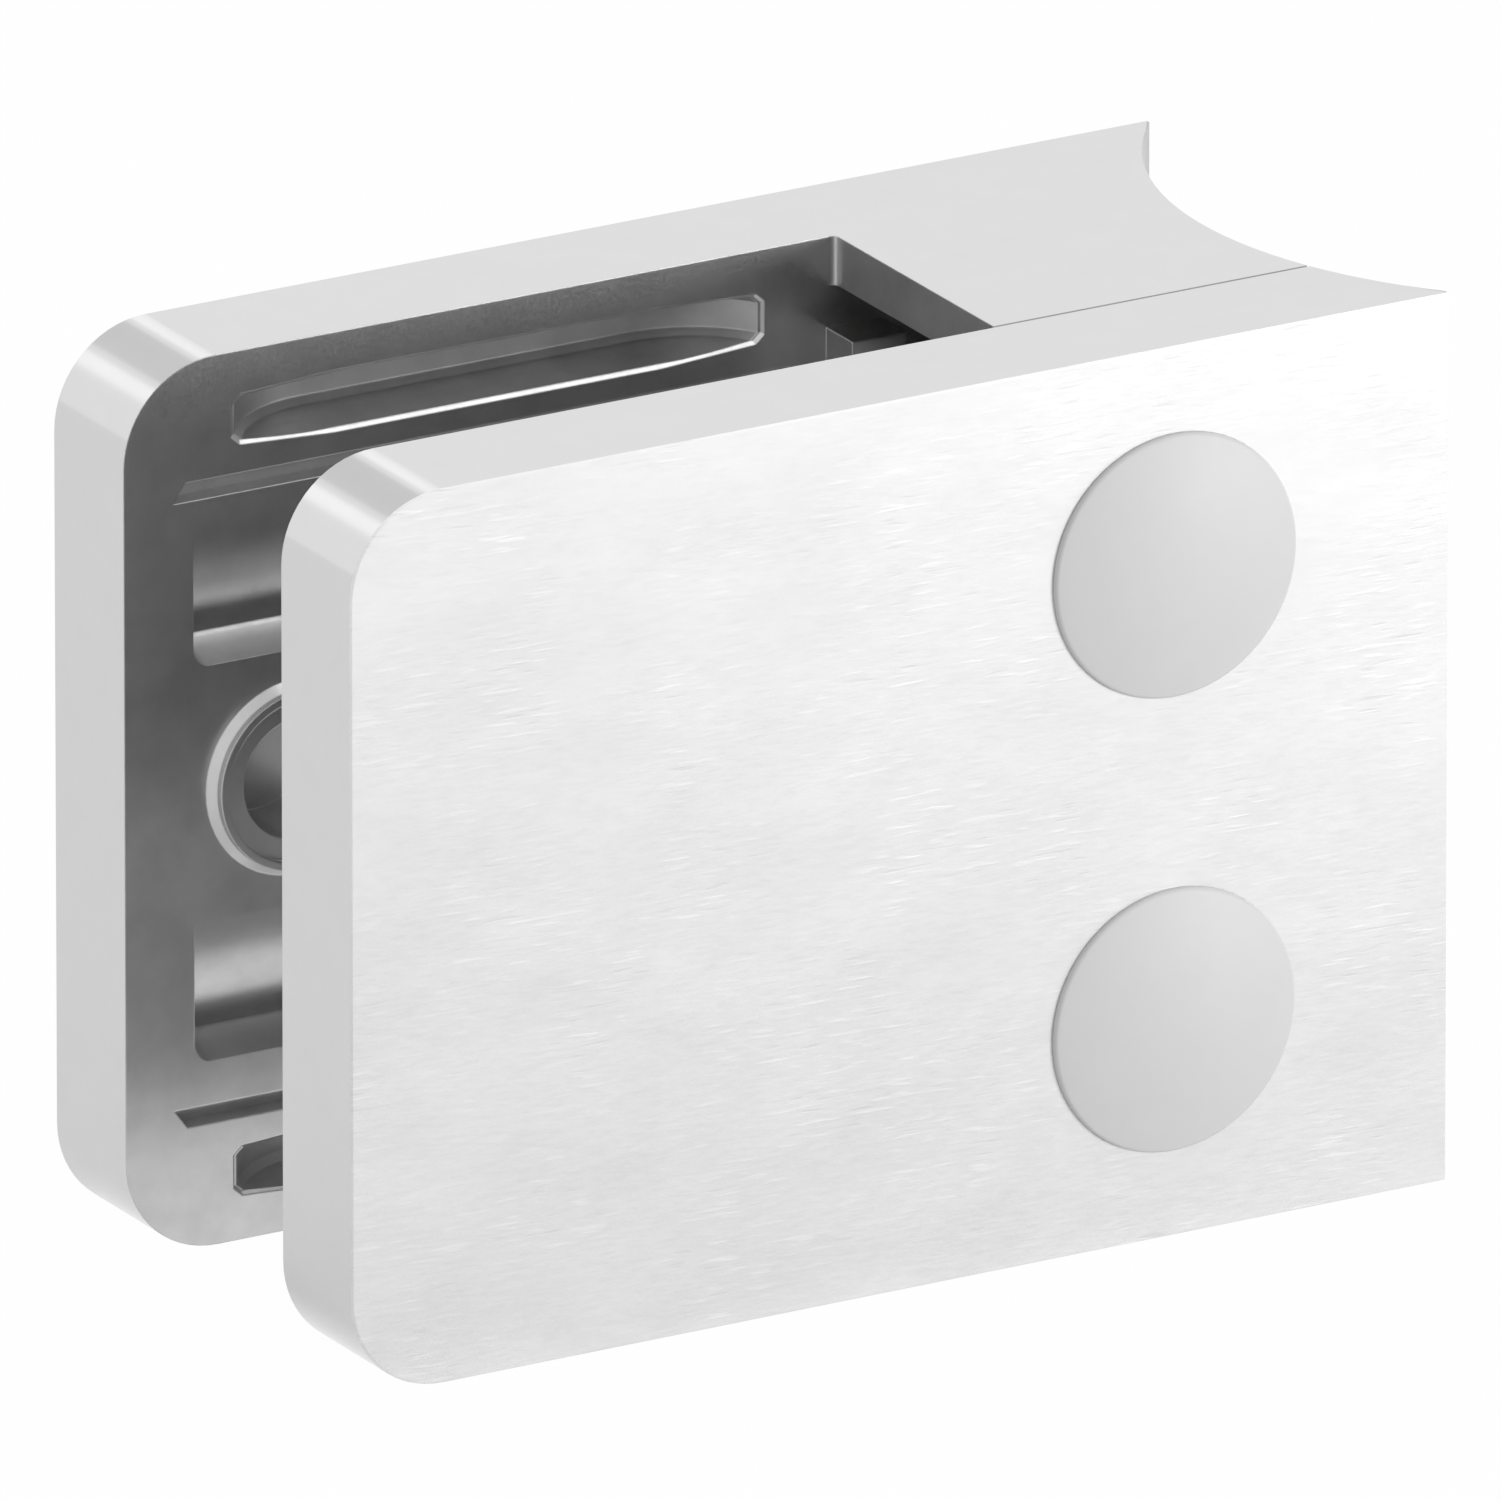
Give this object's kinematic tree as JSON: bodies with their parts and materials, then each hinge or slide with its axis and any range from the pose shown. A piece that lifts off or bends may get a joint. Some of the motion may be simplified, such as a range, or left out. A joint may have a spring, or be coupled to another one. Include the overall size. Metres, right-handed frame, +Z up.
{
  "type": "glass panel clamp",
  "caption": "Rectangular railing clamp with a rounded mouth for a glass panel, a loose front plate held by covered screws and a concave saddle for a round post.",
  "frame": {"origin": "where the axis of the post screw hole meets the deepest line of the saddle, at mid height and in the middle of the glass gap", "axes": "+X towards the post, -X the way the glass leaves the mouth, -Y towards the loose front plate, +Z up along the post"},
  "size_m": [0.0601, 0.0298, 0.045],
  "materials": {
    "brushed_casting": "satin stainless steel, brushed along the length on the outer faces, blasted and tumbled inside the mouth",
    "screw_steel": "plain stainless steel",
    "cap_grey": "smooth light grey plastic with a silky sheen"
  },
  "bodies": {
    "clamp_body": {"rear_jaw_body": "brushed_casting"},
    "front_plate": {"front_plate": "brushed_casting"},
    "screw_upper": {"screw_upper": "screw_steel"},
    "screw_lower": {"screw_lower": "screw_steel"},
    "cap_upper": {"cap_upper": "cap_grey"},
    "cap_lower": {"cap_lower": "cap_grey"}
  },
  "joints": [
    {"name": "plate_slide", "type": "slide", "parent": "clamp_body", "child": "front_plate", "axis": [0, -1, 0], "range_m": [0, 0.012]},
    {"name": "screw_upper_turn", "type": "hinge", "parent": "front_plate", "child": "screw_upper", "pos_m": [-0.0099, 0, 0.0115], "axis": [0, -1, 0], "range_deg": [0, 4330]},
    {"name": "screw_lower_turn", "type": "hinge", "parent": "front_plate", "child": "screw_lower", "pos_m": [-0.0099, 0, -0.0115], "axis": [0, -1, 0], "range_deg": [0, 4330]},
    {"name": "cap_upper_pull", "type": "slide", "parent": "front_plate", "child": "cap_upper", "axis": [0, -1, 0], "range_m": [0, 0.012]},
    {"name": "cap_lower_pull", "type": "slide", "parent": "front_plate", "child": "cap_lower", "axis": [0, -1, 0], "range_m": [0, 0.012]}
  ],
  "couplings": [
    {"joint": "screw_upper_turn", "follows": "plate_slide", "rad_per_m": 6283.2},
    {"joint": "screw_lower_turn", "follows": "plate_slide", "rad_per_m": 6283.2}
  ]
}
